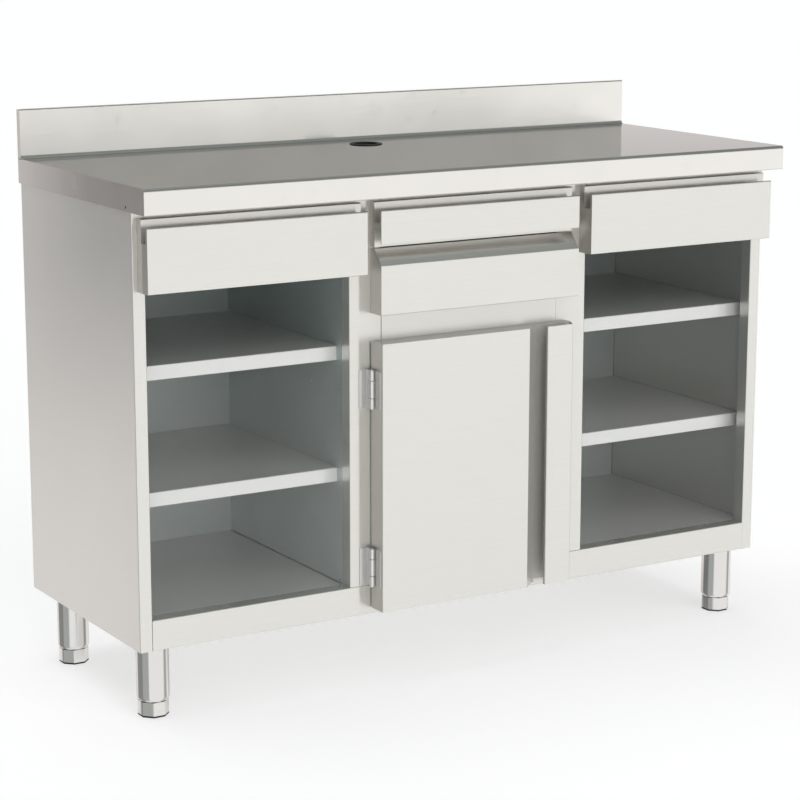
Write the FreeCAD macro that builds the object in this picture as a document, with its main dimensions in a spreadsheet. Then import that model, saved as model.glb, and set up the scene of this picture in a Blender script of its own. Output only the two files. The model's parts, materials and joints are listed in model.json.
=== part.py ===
"""Waiter service station: a stainless steel bar counter with two open shelf bays, four drawers
and a hinged cupboard, standing on four levelling legs.

Frame: +X along the counter to the right, +Y to the back, +Z up. The origin lies on the floor,
under the middle of the worktop. Millimetres.
"""
import FreeCAD, Part
import Sketcher
import math
import os

V = FreeCAD.Vector
NO_TURN = FreeCAD.Rotation()
doc = FreeCAD.newDocument("waiter_station")
sheet = doc.addObject("Spreadsheet::Sheet", "sizes")


# ---------------------------------------------------------------- sizes

class Size:
    """A length with the formula that it came from, so that objects can be bound to it."""

    def __init__(self, value, formula):
        self.value = value
        self.formula = formula

    def __add__(self, other):
        other = size(other)
        return Size(self.value + other.value, "(%s + %s)" % (self.formula, other.formula))

    def __radd__(self, other):
        return size(other) + self

    def __sub__(self, other):
        other = size(other)
        return Size(self.value - other.value, "(%s - %s)" % (self.formula, other.formula))

    def __rsub__(self, other):
        return size(other) - self

    def __mul__(self, factor):
        return Size(self.value * factor, "%s * %s" % (self.formula, factor))

    __rmul__ = __mul__

    def __truediv__(self, divisor):
        return Size(self.value / divisor, "%s / %s" % (self.formula, divisor))

    def __neg__(self):
        return self * -1


def size(length):
    """A Size as it is, or a plain number as a Size."""
    if isinstance(length, Size):
        return length
    return Size(float(length), "(%s)" % length)


def cell(alias, number, note):
    """Write one driving dimension into the sheet and return it as a Size."""
    cell.row += 1
    sheet.set("A%d" % cell.row, note)
    sheet.set("B%d" % cell.row, str(number))
    sheet.setAlias("B%d" % cell.row, alias)
    return Size(float(number), "sizes.%s" % alias)


cell.row = 0

# worktop
width = cell("width", 1500, "worktop length")
depth = cell("depth", 600, "worktop depth")
work_height = cell("work_height", 1050, "worktop surface above the floor")
fascia = cell("fascia", 50, "height of the worktop's folded edge")
rise = cell("rise", 100, "upstand above the worktop")
upstand = cell("upstand", 15, "upstand thickness")
nose = cell("nose", 5, "radius along the worktop's front edge")
cove = cell("cove", 7, "radius between worktop and upstand")
board = cell("board", 19, "board under the worktop sheet")
hem = cell("hem", 15, "folded return of an edge")
gauge = cell("gauge", 1.2, "sheet thickness")
bend = cell("bend", 1.0, "inner radius of a fold")
hole_back = cell("hole_back", 484, "cable hole, centre behind the front edge")
hole_radius = cell("hole_radius", 30.3, "cable hole in the worktop")
grommet_bore = cell("grommet_bore", 26, "clear radius of the cable grommet")
grommet_flange = cell("grommet_flange", 35, "radius of the grommet's flange")
plug_radius = cell("plug_radius", 2.5, "fixing hole in each end of the worktop")
plug_back = cell("plug_back", 81, "fixing hole behind the front edge")
plug_up = cell("plug_up", 8, "fixing hole above the fascia's lower edge")
grommet_rim = cell("grommet_rim", 2, "thickness of the grommet's flange")
over = cell("over", 1, "how far a cutting tool runs past a face")

# carcass
end_inset = cell("end_inset", 2.5, "carcass inside the worktop's ends")
front_inset = cell("front_inset", 64, "carcass front behind the worktop's edge")
back_inset = cell("back_inset", 5, "carcass back inside the worktop's back")
low = cell("low", 147, "underside of the carcass")
rail_rise = cell("rail_rise", 61.5, "height of the bottom rail")
stile = cell("stile", 26.5, "width of each outer stile")
lip = cell("lip", 30, "depth of the returns of stiles and rails")
post_out = cell("post_out", 246, "middle post, centre from the middle")
post_width = cell("post_width", 73.5, "width of each middle post")
top_rail = cell("top_rail", 28, "height of the top rails")
rail_low = cell("rail_low", 700, "underside of the centre rail")
rail_high = cell("rail_high", 776, "top of the centre rail")
seam = cell("seam", 0.1, "gap at a seam of the frame")
nest = cell("nest", 0.05, "play between a post and the divider nested in it")
return_in = cell("return_in", 20, "small returns of rails, base and shelves")

# shelves
shelf_inset = cell("shelf_inset", 117.5, "shelf front behind the worktop's edge")
shelf_edge = cell("shelf_edge", 29.5, "height of a shelf's front edge")
shelf_high = cell("shelf_high", 696, "upper shelf surface")
shelf_mid = cell("shelf_mid", 447, "lower shelf surface")
slack = cell("slack", 0.35, "clearance at the ends of a shelf")
angle_leg = cell("angle_leg", 20, "legs of the shelf angles")
angle_front = cell("angle_front", 150, "shelf angles start behind the worktop's edge")
angle_back = cell("angle_back", 560, "shelf angles end behind the worktop's edge")
rivet_front = cell("rivet_front", 109, "front rivets behind the worktop's edge")
rivet_behind = cell("rivet_behind", 224, "second rivet behind the worktop's edge")
rivet_high = cell("rivet_high", 606, "upper rivets above the floor")
rivet_low = cell("rivet_low", 214, "lower rivet above the floor")
rivet_radius = cell("rivet_radius", 3.2, "radius of a rivet's head")
rivet_crown = cell("rivet_crown", 1.4, "height of a rivet's head")

# drawers
front_width = cell("front_width", 470, "width of drawer fronts and door")
front_out = cell("front_out", 501, "side drawer fronts, centre from the middle")
face_inset = cell("face_inset", 20, "drawer face behind the worktop's edge")
leaf = cell("leaf", 7, "thickness of a drawer face's hollow upper edge")
channel = cell("channel", 20, "width of the finger channel behind that edge")
seat = cell("seat", 63.6, "back of the drawer fronts behind the worktop's edge")
drawer_low = cell("drawer_low", 849.5, "lower edge of the side drawer fronts")
face_high = cell("face_high", 974, "upper edge of the drawer faces")
backer_high = cell("backer_high", 989, "upper edge of the drawer backers")
grip_floor = cell("grip_floor", 944, "floor of the side drawers' finger channel")
upper_low = cell("upper_low", 908, "lower edge of the upper centre face")
upper_back_low = cell("upper_back_low", 899, "lower edge of the upper centre backer")
web_low = cell("web_low", 932, "underside of the upper centre front's web")
web_high = cell("web_high", 949, "top of the upper centre front's web")
lower_low = cell("lower_low", 766, "lower edge of the lower centre face")
slope_low = cell("slope_low", 865, "foot of the lower centre front's slope")
slope_high = cell("slope_high", 896.5, "head of the lower centre front's slope")
slope_back = cell("slope_back", 48.5, "head of that slope behind the worktop's edge")
box_gauge = cell("box_gauge", 1, "sheet thickness of the drawer boxes")
box_depth = cell("box_depth", 388, "depth of the drawer boxes")
box_rim = cell("box_rim", 4, "width of the drawer boxes' folded rim")
runner = cell("runner", 12.7, "room for a runner on each side of a box")
runner_height = cell("runner_height", 45, "height of the runners")
runner_length = cell("runner_length", 400, "length of the runners")
runner_inset = cell("runner_inset", 3, "runners behind the front of the carcass")
runner_bend = cell("runner_bend", 0.6, "inner radius of a runner's folds")
fixed_reach = cell("fixed_reach", 9.5, "depth of a fixed member from its wall")
middle_web = cell("middle_web", 4.2, "web of a middle member from the wall")
middle_reach = cell("middle_reach", 10.8, "depth of a middle member from the wall")
middle_less = cell("middle_less", 6, "middle member lower than the fixed one by")
moving_reach = cell("moving_reach", 6.6, "edges of a drawer member from the wall")
moving_less = cell("moving_less", 13, "drawer member lower than the fixed one by")
bracket_near = cell("bracket_near", 420, "runner brackets start behind the edge")
bracket_foot = cell("bracket_foot", 18, "foot of a bracket along the back panel")
bracket_tall = cell("bracket_tall", 30, "height of a runner bracket")
side_level = cell("side_level", 55, "side drawers' runners above the fronts' lower edge")
side_floor = cell("side_floor", 9, "side drawers' boxes above the fronts' lower edge")
side_tall = cell("side_tall", 95, "height of the side drawers' boxes")
upper_level = cell("upper_level", 36, "shallow drawer's runners above its backer's edge")
upper_floor = cell("upper_floor", 9, "shallow drawer's box above its backer's edge")
upper_tall = cell("upper_tall", 52, "height of the shallow drawer's box")
lower_level = cell("lower_level", 64, "deep drawer's runners above its front's edge")
lower_floor = cell("lower_floor", 16, "deep drawer's box above its front's edge")
lower_tall = cell("lower_tall", 98, "height of the deep drawer's box")

# door and hinges
door_inset = cell("door_inset", 16, "door face behind the worktop's edge")
door_back = cell("door_back", 60.7, "back of the door behind the worktop's edge")
door_low = cell("door_low", 161, "lower edge of the door")
door_high = cell("door_high", 709.5, "upper edge of the door")
panel_width = cell("panel_width", 349, "flat face of the door")
grip_back = cell("grip_back", 45, "floor of the door's grip channel behind the edge")
grip_slant = cell("grip_slant", 33, "run of the slant beside the grip channel")
strip_width = cell("strip_width", 62, "width of the grip strip's face")
strip_slant = cell("strip_slant", 14, "run of the grip strip's slanted leg")
strip_hem = cell("strip_hem", 8, "return along the grip strip's free edge")
grip_stop = cell("grip_stop", 9, "height of the stop at the channel's foot")
grip_margin = cell("grip_margin", 1.5, "grip strip inside the door's edge")
grip_lift = cell("grip_lift", 0.7, "grip strip's foot in front of the channel's floor")
strike_in = cell("strike_in", 48, "magnet's strike plate inside the door's edge")
strike_width = cell("strike_width", 22, "width of the strike plate")
strike_thick = cell("strike_thick", 1.6, "thickness of the strike plate")
strike_tall = cell("strike_tall", 40, "height of the strike plate")
magnet_low = cell("magnet_low", 416, "underside of the magnet's housing")
magnet_tall = cell("magnet_tall", 48, "height of the magnet's housing")
magnet_width = cell("magnet_width", 17, "width of the magnet's housing")
magnet_deep = cell("magnet_deep", 18, "depth of the magnet's housing")
magnet_gap = cell("magnet_gap", 2, "housing behind the back of the door")
pivot_out = cell("pivot_out", 6.5, "hinge axis beside the door's edge")
pivot_back = cell("pivot_back", 47.5, "hinge axis behind the worktop's edge")
knuckle = cell("knuckle", 6, "radius of the hinge knuckles")
pin_radius = cell("pin_radius", 2.5, "radius of the hinge pins")
pin_play = cell("pin_play", 0.06, "play round a hinge pin")
hinge_tall = cell("hinge_tall", 78, "height of a hinge")
hinge_end = cell("hinge_end", 21, "height of a frame knuckle")
hinge_low = cell("hinge_low", 249, "middle of the lower hinge")
hinge_high = cell("hinge_high", 615, "middle of the upper hinge")
hinge_plate = cell("hinge_plate", 2, "thickness of the hinge leaves")
hinge_reach = cell("hinge_reach", 20, "width of a leaf on the post")
hinge_wing = cell("hinge_wing", 26, "width of a leaf on the door's edge")
hinge_root = cell("hinge_root", 3, "crank starts behind the hinge axis")
knuckle_gap = cell("knuckle_gap", 0.3, "gap between two knuckles")
knuckle_relief = cell("knuckle_relief", 0.4, "room round a knuckle in the other leaf")
pin_grip = cell("pin_grip", 0.01, "play round a pin where the frame knuckles hold it")
pin_head = cell("pin_head", 1.5, "height of a hinge pin's head")
pin_brim = cell("pin_brim", 1.3, "a pin's head beyond its shank")

# legs and feet
leg_in = cell("leg_in", 53.6, "leg axis inside the worktop's ends")
leg_front = cell("leg_front", 121.2, "front leg axis behind the worktop's edge")
leg_back = cell("leg_back", 510.3, "back leg axis behind the worktop's edge")
leg_radius = cell("leg_radius", 32.5, "radius of the leg tubes")
leg_wall = cell("leg_wall", 1.5, "wall of the leg tubes")
tube_low = cell("tube_low", 40, "height where the leg tubes start to narrow")
foot_high = cell("foot_high", 31, "top of a foot, screwed right in")
foot_corner = cell("foot_corner", 30.65, "radius over the corners of a foot")
sole = cell("sole", 3, "thickness of the rubber soles")
stem_radius = cell("stem_radius", 8, "radius of the levelling stems")
stem_play = cell("stem_play", 0.08, "play round a levelling stem")
stem_length = cell("stem_length", 70, "length of the levelling stems above the foot")
bush_high = cell("bush_high", 62, "top of the threaded bushes")
flange_radius = cell("flange_radius", 36, "radius of a leg's flange plate")
flange_thick = cell("flange_thick", 4, "thickness of a leg's flange plate")
foot_gap = cell("foot_gap", 0.3, "gap between a foot, screwed right in, and its bush")
skirt_taper = cell("skirt_taper", 4, "how much a leg tube narrows towards its foot")
knee_taper = cell("knee_taper", 1.1, "how much of that lies above the knee")
knee_drop = cell("knee_drop", 4.8, "knee below the height where a tube starts to narrow")
sole_corner = cell("sole_corner", 30.4, "radius over the corners of the rubber soles")

# the levels and planes that several pieces share
end = width / 2
front = -depth / 2
back = depth / 2
top = work_height
carcass_top = top - fascia
rail_top = low + rail_rise
base_top = rail_top - gauge
carcass_end = end - end_inset
carcass_front = front + front_inset
carcass_back = back - back_inset
bay_out = carcass_end - stile
post_outer = post_out + post_width / 2
post_inner = post_out - post_width / 2
panel_back = carcass_back - gauge * 2
wall_in = gauge + nest
doc.recompute()


# ---------------------------------------------------------------- building blocks

PLANE_AXES = {"YZ": (1, 2, 0), "XZ": (0, 2, 1), "XY": (0, 1, 2)}
AXIS_NAMES = "xyz"
LEAST_CUT = 0.01
SAME_PLACE = 0.001
nodes = []


def bind(thing, prop, length):
    """Bind one property to a Size's formula."""
    thing.setExpression(prop, size(length).formula)


def place(thing, corner):
    """Bind an object's position, axis by axis."""
    for axis, length in zip(AXIS_NAMES, corner):
        bind(thing, "Placement.Base." + axis, length)


def keep(thing, name):
    """Mark a finished sub-part, under the name of its node."""
    thing.Label = name
    nodes.append(thing)
    return thing


def new_body(name):
    return doc.addObject("PartDesign::Body", name)


def outline(body, plane, corners):
    """A closed sketch with every corner bound to the sheet, on one of the body's own planes."""
    sketch = body.newObject("Sketcher::SketchObject", "Outline")
    for origin_plane in body.Origin.OriginFeatures:
        if origin_plane.Role == plane + "_Plane":
            sketch.AttachmentSupport = (origin_plane, [""])
    sketch.MapMode = "FlatFace"
    corners = [(size(u), size(v)) for u, v in corners]
    points = [V(u.value, v.value, 0) for u, v in corners]
    following = points[1:] + points[:1]
    sketch.addGeometry([Part.LineSegment(p, q) for p, q in zip(points, following)])
    count = len(points)
    joints = [Sketcher.Constraint("Coincident", k, 2, (k + 1) % count, 1) for k in range(count)]
    sketch.addConstraint(joints)
    for k, corner in enumerate(corners):
        for kind, length in zip(("DistanceX", "DistanceY"), corner):
            index = sketch.addConstraint(Sketcher.Constraint(kind, -1, 1, k, 1, length.value))
            sketch.setExpression("Constraints[%d]" % index, length.formula)
    return sketch


def pad(body, plane, corners, length):
    """Extrude an outline along its plane's axis, towards plus."""
    feature = body.newObject("PartDesign::Pad", "Pad")
    feature.Profile = outline(body, plane, corners)
    feature.Reversed = plane == "XZ"
    bind(feature, "Length", length)
    doc.recompute()
    return feature


def slab(body, corner, extent):
    """Weld a rectangular plate onto a body. The corner is in the body's own frame."""
    plate = body.newObject("PartDesign::AdditiveBox", "Plate")
    for prop, length in zip(("Length", "Width", "Height"), extent):
        bind(plate, prop, length)
    place(plate, corner)
    doc.recompute()
    return plate


def bore(body, centre, radius, height, turn=NO_TURN):
    """Cut a round hole through a body, and make sure that it cut something."""
    before = body.Shape.Volume
    tool = body.newObject("PartDesign::SubtractiveCylinder", "Bore")
    bind(tool, "Radius", radius)
    bind(tool, "Height", height)
    tool.Placement = FreeCAD.Placement(V(), turn)
    place(tool, centre)
    doc.recompute()
    if body.Shape.Volume > before - LEAST_CUT:
        raise RuntimeError("the hole in %s cuts nothing" % body.Name)
    return tool


def mitre(path, index, side):
    """How far, in sheet thicknesses, a path's corner moves to reach the sheet's other face."""
    normals = []
    for j in (index - 1, index):
        if 0 <= j < len(path) - 1:
            run = [path[j + 1][k].value - path[j][k].value for k in (0, 1)]
            reach = math.hypot(*run)
            normals.append((-run[1] / reach * side, run[0] / reach * side))
    if len(normals) == 1:
        return normals[0]
    (a, b), (c, d) = normals
    spread = 1 + a * c + b * d
    return (a + c) / spread, (b + d) / spread


def turn_at(path, index):
    """The sense of the turn at a corner of a path: positive to the left."""
    before, here, after = [[length.value for length in path[index + k]] for k in (-1, 0, 1)]
    return ((here[0] - before[0]) * (after[1] - here[1])
            - (here[1] - before[1]) * (after[0] - here[0]))


def round_edges(body, plane, corners, radius):
    """Round the edges of a body that run along the plane's axis through the given corners."""
    u_axis, v_axis, run_axis = PLANE_AXES[plane]
    base = body.Tip
    names = []
    for number, edge in enumerate(base.Shape.Edges, 1):
        first = edge.firstVertex().Point
        last = edge.lastVertex().Point
        if abs(last[run_axis] - first[run_axis]) < edge.Length - SAME_PLACE:
            continue
        for u, v in corners:
            if max(abs(first[u_axis] - u), abs(first[v_axis] - v)) < SAME_PLACE:
                names.append("Edge%d" % number)
    fillet = body.newObject("PartDesign::Fillet", "Fold")
    fillet.Base = (base, names)
    bind(fillet, "Radius", radius)
    doc.recompute()


def folded(name, plane, path, side, start, length, inner=bend, special=None):
    """A folded sheet. The path is its outer face, and side is +1 where the sheet lies to the
    left of the path. special gives some corners an inner radius of their own."""
    path = [(size(u), size(v)) for u, v in path]
    other = []
    for k, (u, v) in enumerate(path):
        du, dv = mitre(path, k, side)
        other.append((u + gauge * round(du, 6), v + gauge * round(dv, 6)))
    body = new_body(name)
    bind(body, "Placement.Base." + AXIS_NAMES[PLANE_AXES[plane][2]], start)
    pad(body, plane, path + other[::-1], length)
    rounds = {}
    for k in range(1, len(path) - 1):
        radius = (special or {}).get(k, inner)
        here = tuple(length.value for length in path[k])
        there = tuple(length.value for length in other[k])
        if turn_at(path, k) * side < 0:
            here, there = there, here
        rounds.setdefault((radius + gauge).formula, (radius + gauge, []))[1].append(here)
        rounds.setdefault(radius.formula, (radius, []))[1].append(there)
    for radius, corners in rounds.values():
        round_edges(body, plane, corners, radius)
    return body


def block(corner, extent):
    """A plain Part box between two bound corners."""
    piece = doc.addObject("Part::Box", "Block")
    for prop, length in zip(("Length", "Width", "Height"), extent):
        bind(piece, prop, length)
    place(piece, corner)
    return piece


def rod(centre, radius, height, turn=NO_TURN):
    """A plain Part cylinder from its lower end's centre."""
    piece = doc.addObject("Part::Cylinder", "Rod")
    bind(piece, "Radius", radius)
    bind(piece, "Height", height)
    piece.Placement = FreeCAD.Placement(V(), turn)
    place(piece, centre)
    return piece


def welded(pieces):
    """Several Part pieces as one solid."""
    fusion = doc.addObject("Part::MultiFuse", "Welded")
    fusion.Shapes = pieces
    fusion.Refine = True
    return fusion


def cut(piece, tool):
    """One Part piece less another."""
    difference = doc.addObject("Part::Cut", "Cut")
    difference.Base = piece
    difference.Tool = tool
    return difference


def group(pieces):
    """Separate solids that share a node."""
    together = doc.addObject("Part::Compound", "Group")
    together.Links = pieces
    return together


# ---------------------------------------------------------------- worktop

def make_worktop():
    """One folded sheet with its front edge, upstand and back, closed by a plate at each end."""
    sill = top - fascia
    path = [(front + hem, sill), (front, sill), (front, top), (back - upstand, top),
            (back - upstand, top + rise), (back, top + rise), (back, sill), (back - hem, sill)]
    body = folded("Worktop", "YZ", path, -1, -end, width, special={2: nose, 3: cove})
    for x, inner_x in ((0, gauge), (width - gauge, width - hem)):
        slab(body, (x, front + gauge, sill), (gauge, depth - gauge * 2, fascia - gauge))
        slab(body, (x, back - upstand + gauge, top), (gauge, upstand - gauge * 2, rise - gauge))
        slab(body, (inner_x, front + hem, sill), (hem - gauge, depth - hem * 2, gauge))
    bore(body, (end, front + hole_back, top - gauge - over), hole_radius, gauge + over * 2)
    across = FreeCAD.Rotation(V(0, 1, 0), 90)
    for x in (-over, width - gauge - over):
        bore(body, (x, front + plug_back, sill + plug_up), plug_radius, gauge + over * 2, across)
    return keep(body, "worktop_sheet")


def make_board():
    """The water-resistant board that backs the worktop sheet."""
    margin = gauge * 2
    panel = block((-end + margin, front + nose + margin, top - gauge - board),
                  (width - margin * 2, depth - upstand - nose - margin * 2 - cove, board))
    opening = rod((0, front + hole_back, top - gauge - board - over), hole_radius, board + over * 2)
    return keep(cut(panel, opening), "worktop_board")


def make_grommet():
    """A flanged ring in the cable hole."""
    centre = front + hole_back
    drop = board + gauge
    flange = rod((0, centre, top), grommet_flange, grommet_rim)
    sleeve = rod((0, centre, top - drop), hole_radius - seam / 2, drop)
    way = rod((0, centre, top - drop - over), grommet_bore, drop + grommet_rim + over * 2)
    return keep(cut(welded([flange, sleeve]), way), "cable_grommet")


# ---------------------------------------------------------------- carcass

def make_side_panel(name, sign):
    """The end skin, folded round the front into the stile and round the back into a return."""
    tall = carcass_top - low
    path = [(bay_out * sign, carcass_front + lip), (bay_out * sign, carcass_front),
            (carcass_end * sign, carcass_front), (carcass_end * sign, carcass_back),
            ((carcass_end - stile) * sign, carcass_back)]
    body = folded(name, "XY", path, sign, low, tall)
    inner = carcass_end - gauge
    corner_x = inner - hem if sign > 0 else -inner
    for z in (size(0), tall - gauge):
        slab(body, (corner_x, carcass_front + lip, z),
             (hem, depth - front_inset - lip - return_in, gauge))
    return keep(body, name)


def make_post(sign):
    """A middle post: a channel with its face to the front, standing on the bottom rail."""
    path = [(post_inner * sign, carcass_front + lip), (post_inner * sign, carcass_front),
            (post_outer * sign, carcass_front), (post_outer * sign, carcass_front + lip)]
    return folded("Post", "XY", path, sign, rail_top + seam, carcass_top - rail_top - seam)


def make_divider(sign):
    """The wall between two bays: a folded sheet with two faces, nested in the post."""
    inner = (post_inner + wall_in) * sign
    outer = (post_outer - wall_in) * sign
    nearest = carcass_front + wall_in
    path = [(inner, panel_back - seam), (inner, nearest), (outer, nearest),
            (outer, panel_back - seam)]
    foot = rail_top + seam
    return folded("Divider", "XY", path, sign, foot, carcass_top - foot)


def make_rail(path, start, length):
    return folded("Rail", "YZ", path, -1, start, length)


def channel_path(bottom, upper):
    """A rail's outer face: lower return, front and upper return."""
    return [(carcass_front + lip, bottom), (carcass_front, bottom),
            (carcass_front, upper), (carcass_front + lip, upper)]


def make_bottom_rail():
    path = [(carcass_front + return_in, low), (carcass_front, low),
            (carcass_front, rail_top), (carcass_front + lip, rail_top)]
    rail = make_rail(path, -bay_out + seam, bay_out * 2 - seam * 2)
    return keep(rail, "bottom_rail")


def make_centre_rail():
    rail = make_rail(channel_path(rail_low, rail_high), -post_inner + seam, (post_inner - seam) * 2)
    return keep(rail, "centre_rail")


def make_top_rails():
    """A short angle across the head of each opening."""
    path = [(carcass_front, carcass_top - top_rail), (carcass_front, carcass_top),
            (carcass_front + lip, carcass_top)]
    bay = bay_out - post_outer - seam * 2
    starts = ((-bay_out + seam, bay), (-post_inner + seam, (post_inner - seam) * 2),
              (post_outer + seam, bay))
    return keep(group([make_rail(path, start, length) for start, length in starts]), "top_rails")


def make_base_panel():
    path = [(panel_back - seam, base_top - return_in), (panel_back - seam, base_top),
            (carcass_front + lip + seam, base_top)]
    inner = carcass_end - gauge - bend - seam
    body = folded("Base", "YZ", path, 1, -inner, inner * 2)
    return keep(body, "base_panel")


def make_back_panel():
    inner = carcass_end - gauge - bend - seam
    panel = block((-inner, panel_back, low + gauge), (inner * 2, gauge, carcass_top - low - gauge * 2))
    return keep(panel, "back_panel")


def make_shelf(name, left, right, inset, surface):
    """A shelf with a deep folded edge in front and a return down at the back."""
    nearest = front + inset
    path = [(panel_back - seam, surface - return_in), (panel_back - seam, surface),
            (nearest, surface), (nearest, surface - shelf_edge),
            (nearest + hem, surface - shelf_edge)]
    body = folded(name, "YZ", path, 1, left + slack, right - left - slack * 2)
    return keep(body, name)


def make_angle(wall, towards, surface):
    """An angle riveted to a wall, under one end of a shelf."""
    under = surface - gauge
    path = [(wall, under - angle_leg), (wall, under), (wall + angle_leg * towards, under)]
    return folded("Angle", "XZ", path, -towards, front + angle_front, angle_back - angle_front)


def make_shelves():
    side_wall = carcass_end - gauge
    bay_wall = post_outer - wall_in
    cupboard_wall = post_inner + wall_in
    angles = []
    for level, surface in (("upper", shelf_high), ("lower", shelf_mid)):
        make_shelf("left_%s_shelf" % level, -side_wall, -bay_wall, shelf_inset, surface)
        make_shelf("right_%s_shelf" % level, bay_wall, side_wall, shelf_inset, surface)
        for wall, towards in ((-side_wall, 1), (-bay_wall, -1), (bay_wall, 1), (side_wall, -1)):
            angles.append(make_angle(wall, towards, surface))
    make_shelf("cupboard_shelf", -cupboard_wall, cupboard_wall, angle_front - hem, shelf_mid)
    angles.append(make_angle(-cupboard_wall, 1, shelf_mid))
    angles.append(make_angle(cupboard_wall, -1, shelf_mid))
    keep(group(angles), "shelf_angles")


def make_rivets():
    """Blind rivets that show on the bay side of each divider."""
    heads = []
    for sign in (-1, 1):
        wall = (post_outer - wall_in) * sign
        outward = FreeCAD.Rotation(V(0, 1, 0), 90 * sign)
        for inset, height in ((rivet_front, rivet_high), (rivet_behind, rivet_high),
                              (rivet_front, rivet_low)):
            centre = (wall, front + inset, height)
            disc = rod(centre, rivet_radius, rivet_crown / 2, outward)
            crown = rod(centre, rivet_radius / 2, rivet_crown, outward)
            heads.append(welded([disc, crown]))
    return keep(group(heads), "divider_rivets")


# ---------------------------------------------------------------- drawers

def cap_pair(body, points, length, plane="YZ"):
    """Weld a flat closing plate of the given outline into each end of a hollow front."""
    for start in (size(0), length - gauge):
        plate = pad(body, plane, points, gauge)
        bind(plate.Profile[0], "AttachmentOffset.Base.z", start)
        doc.recompute()


def make_backer(name, start, bottom):
    """The inner layer of a drawer front: a tall narrow box."""
    near = front + face_inset + leaf + channel
    far = front + seat
    path = [(near, bottom), (near, backer_high), (far, backer_high), (far, bottom)]
    body = folded("Backer", "YZ", path, -1, start, front_width)
    cap_pair(body, [(near + gauge, bottom), (near + gauge, backer_high - gauge),
                    (far - gauge, backer_high - gauge), (far - gauge, bottom)], front_width)
    slab(body, (0, near + gauge, bottom), (front_width, far - near - gauge * 2, gauge))
    return keep(body, name)


def make_side_front(name, start):
    """Face, hollow upper edge and finger channel of a side drawer, in one folded sheet."""
    face = front + face_inset
    slot = face + leaf
    near = slot + channel - seam
    path = [(near, drawer_low), (face, drawer_low), (face, face_high), (slot, face_high),
            (slot, grip_floor), (near, grip_floor)]
    body = folded("Front", "YZ", path, -1, start, front_width)
    inside = [(near, drawer_low + gauge), (face + gauge, drawer_low + gauge),
              (face + gauge, face_high - gauge), (slot - gauge, face_high - gauge),
              (slot - gauge, grip_floor - gauge), (near, grip_floor - gauge)]
    cap_pair(body, inside, front_width)
    return keep(body, name)


def make_upper_front(name, start):
    """Face of the shallow drawer, with a finger channel above and below its hollow web."""
    face = front + face_inset
    slot = face + leaf
    near = slot + channel - seam
    path = [(face, upper_low), (face, face_high), (slot, face_high), (slot, web_high),
            (near, web_high)]
    body = folded("Front", "YZ", path, -1, start, front_width)
    slab(body, (0, face + gauge, web_low), (front_width, near - face - gauge, gauge))
    slab(body, (0, face + gauge, upper_low), (front_width, gauge, hem))
    inside = [(face + gauge, web_low + gauge), (face + gauge, face_high - gauge),
              (slot - gauge, face_high - gauge), (slot - gauge, web_high - gauge),
              (near, web_high - gauge), (near, web_low + gauge)]
    cap_pair(body, inside, front_width)
    return keep(body, name)


def make_lower_front(name, start):
    """Face of the deep centre drawer, with a slope that leaves room for fingers above it."""
    face = front + face_inset
    ridge = front + slope_back
    far = front + seat - gauge - seam
    path = [(far, lower_low), (face, lower_low), (face, slope_low), (ridge, slope_high),
            (far, slope_high)]
    body = folded("Front", "YZ", path, -1, start, front_width)
    inside = [(far, lower_low + gauge), (face + gauge, lower_low + gauge),
              (face + gauge, slope_low - gauge), (ridge + gauge, slope_high - gauge * 2),
              (far, slope_high - gauge * 2)]
    cap_pair(body, inside, front_width)
    return keep(body, name)


def make_lower_backer(name, start):
    """The flat plate that closes the back of the deep drawer's front."""
    plate = block((start, front + seat - gauge, lower_low), (front_width, gauge, slope_high - lower_low))
    return keep(plate, name)


def make_drawer_box(name, middle, opening, bottom, tall):
    """An open tray with a narrow folded rim along its sides and back."""
    half = opening / 2 - runner
    near = front + seat
    body = new_body(name)
    place(body, (middle, near, bottom))
    slab(body, (-half, 0, 0), (half * 2, box_depth, tall))
    hollow = body.newObject("PartDesign::SubtractiveBox", "Hollow")
    bind(hollow, "Length", half * 2 - box_gauge * 2)
    bind(hollow, "Width", box_depth - box_gauge * 2)
    bind(hollow, "Height", tall)
    place(hollow, (-half + box_gauge, box_gauge, box_gauge))
    for x in (-half + box_gauge, half - box_gauge - box_rim):
        slab(body, (x, box_gauge, tall - box_gauge), (box_rim, box_depth - box_gauge * 2, box_gauge))
    slab(body, (-half + box_gauge, box_depth - box_gauge - box_rim, tall - box_gauge),
         ((half - box_gauge) * 2, box_rim, box_gauge))
    return keep(body, name)


def make_runner(wall, towards, level, near, web, reach, tall):
    """One C-shaped runner member. web and reach are measured from the wall, towards the box,
    so a member with reach below web opens towards the wall."""
    half = tall / 2
    opens = 1 if reach.value > web.value else -1
    path = [(wall + reach * towards, level - half), (wall + web * towards, level - half),
            (wall + web * towards, level + half), (wall + reach * towards, level + half)]
    return folded("Member", "XZ", path, -opens * towards, near, runner_length, inner=runner_bend)


def make_bracket(wall, towards, level):
    """The small angle that ties the back of a runner to the back panel."""
    far = panel_back
    path = [(wall - gauge * towards, front + bracket_near), (wall - gauge * towards, far),
            (wall + bracket_foot * towards, far)]
    return folded("Bracket", "XY", path, -towards, level - bracket_tall / 2, bracket_tall)


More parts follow.
